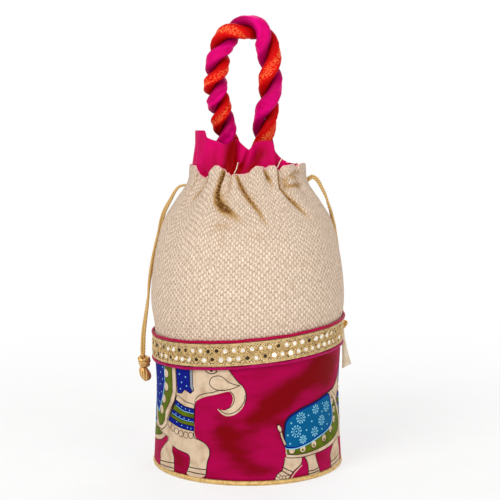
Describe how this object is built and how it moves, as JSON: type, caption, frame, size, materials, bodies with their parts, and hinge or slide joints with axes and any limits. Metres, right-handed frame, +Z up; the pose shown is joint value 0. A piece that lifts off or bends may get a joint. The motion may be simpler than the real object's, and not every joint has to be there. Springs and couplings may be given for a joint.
{
  "type": "potli bag",
  "caption": "Round drawstring pouch with a gathered jute neck, mirror lace band, printed lower panel, satin frill and twisted padded rope handle.",
  "frame": {"origin": "middle of the base's underside, on the surface that the bag stands on", "axes": "+Z up along the bag, -Y towards the front of the print, +X to the right seen from the front"},
  "size_m": [0.143, 0.1276, 0.2941],
  "materials": {
    "satin": "magenta satin",
    "board": "card",
    "zari": "gold zari piping",
    "print": "printed magenta silk blend",
    "piping": "magenta satin piping",
    "lace": "gold zari net with small mirrors",
    "jute": "natural basket-weave jute",
    "lining": "plain lining cloth",
    "cord": "gold satin cord",
    "cord_end": "cream cloth",
    "orange_ply": "orange-red brocade",
    "magenta_ply": "magenta satin"
  },
  "bodies": {
    "root": {"base_cloth": "satin", "base_board": "board", "base_piping": "zari", "printed_panel": "print", "lower_piping": "piping", "lace_band": "lace", "upper_piping": "piping", "jute_panel": "jute", "lining": "lining", "frill": "satin", "drawcord_ring_left": "cord", "drawcord_ring_right": "cord", "drawcord_tail_left": "cord", "drawcord_tail_right": "cord", "knot_left": "cord", "bulb_left": "cord", "knot_right": "cord", "cord_end_right": "cord_end", "handle_ply_orange": "orange_ply", "handle_ply_magenta": "magenta_ply"}
  },
  "joints": []
}
